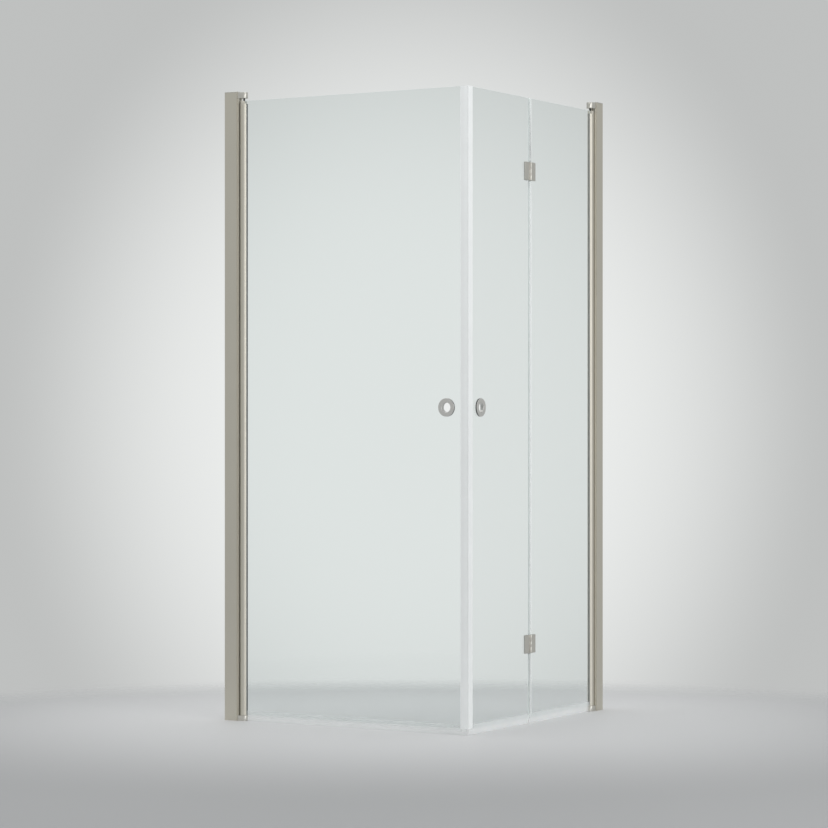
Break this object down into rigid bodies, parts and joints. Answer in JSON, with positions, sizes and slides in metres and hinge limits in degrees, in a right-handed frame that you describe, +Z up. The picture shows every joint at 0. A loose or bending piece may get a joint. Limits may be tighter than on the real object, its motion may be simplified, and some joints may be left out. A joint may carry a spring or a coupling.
{
  "type": "shower screen",
  "caption": "Corner shower screen: two clear glass doors on round lifting hinge columns meet at a mitred magnet seal; the right door folds at its middle; ring handles.",
  "frame": {"origin": "on the floor, at the centre of the 897 x 897 mm box round the screen", "axes": "+Z up; the left door faces -Y and its wall is at -X; the folding door faces +X and its wall is at +Y; the doors meet at the corner +X -Y"},
  "size_m": [0.897, 0.897, 2],
  "materials": {
    "champagne_metal": "fine satin, slightly warm",
    "plain_steel": "plain satin steel",
    "clear_glass": "clear, polished",
    "clear_seal": "clear soft plastic",
    "grey_gasket": "matte grey",
    "pale_plastic": "pale moulded",
    "magnet_core": "matte pale"
  },
  "bodies": {
    "root": {"left_wall_channel": "champagne_metal", "left_adjusting_profile": "champagne_metal", "left_channel_cap": "champagne_metal", "left_column_seal": "grey_gasket", "right_wall_channel": "champagne_metal", "right_adjusting_profile": "champagne_metal", "right_channel_cap": "champagne_metal", "right_column_seal": "grey_gasket", "top_brackets": "champagne_metal", "bottom_brackets": "champagne_metal", "pivot_posts": "plain_steel", "lower_cams": "pale_plastic", "lock_screws": "plain_steel", "bracket_screws": "plain_steel"},
    "left_pin": {"left_top_pin": "plain_steel"},
    "right_pin": {"right_top_pin": "plain_steel"},
    "left_door": {"left_column": "champagne_metal", "left_column_plugs": "pale_plastic", "left_glazing_strip": "grey_gasket", "left_magnet_seal": "clear_seal", "left_magnet_strip": "magnet_core", "left_ring_handle": "champagne_metal", "left_glass": "clear_glass", "left_sweep_seal": "clear_seal"},
    "wall_leaf": {"right_column": "champagne_metal", "right_column_plugs": "pale_plastic", "right_glazing_strip": "grey_gasket", "wall_leaf_glass": "clear_glass", "wall_leaf_sweep_seal": "clear_seal", "fold_seal": "clear_seal", "upper_hinge_wall_half": "champagne_metal", "upper_hinge_wall_clamp": "champagne_metal", "lower_hinge_wall_half": "champagne_metal", "lower_hinge_wall_clamp": "champagne_metal", "upper_hinge_pin": "plain_steel", "lower_hinge_pin": "plain_steel", "wall_leaf_hinge_screws": "plain_steel", "wall_leaf_hinge_pads": "grey_gasket"},
    "free_leaf": {"right_magnet_seal": "clear_seal", "right_magnet_strip": "magnet_core", "right_ring_handle": "champagne_metal", "free_leaf_glass": "clear_glass", "free_leaf_sweep_seal": "clear_seal", "upper_hinge_free_half": "champagne_metal", "upper_hinge_free_clamp": "champagne_metal", "lower_hinge_free_half": "champagne_metal", "lower_hinge_free_clamp": "champagne_metal", "free_leaf_hinge_screws": "plain_steel", "free_leaf_hinge_pads": "grey_gasket"}
  },
  "joints": [
    {"name": "left_door_swing", "type": "hinge", "parent": "root", "child": "left_pin", "pos_m": [-0.3815, -0.4345, 1], "axis": [0, 0, -1], "range_deg": [0, 90]},
    {"name": "left_door_lift", "type": "slide", "parent": "left_pin", "child": "left_door", "axis": [0, 0, 1], "range_m": [0, 0.006]},
    {"name": "wall_leaf_swing", "type": "hinge", "parent": "root", "child": "right_pin", "pos_m": [0.4345, 0.3815, 1], "axis": [0, 0, 1], "range_deg": [0, 90]},
    {"name": "wall_leaf_lift", "type": "slide", "parent": "right_pin", "child": "wall_leaf", "axis": [0, 0, 1], "range_m": [0, 0.006]},
    {"name": "leaf_fold", "type": "hinge", "parent": "wall_leaf", "child": "free_leaf", "pos_m": [0.4435, -0.0467, 0.995], "axis": [0, 0, 1], "range_deg": [0, 175]}
  ],
  "couplings": [
    {"joint": "left_door_lift", "follows": "left_door_swing", "m_per_rad": 0.0038197},
    {"joint": "wall_leaf_lift", "follows": "wall_leaf_swing", "m_per_rad": 0.0038197}
  ]
}
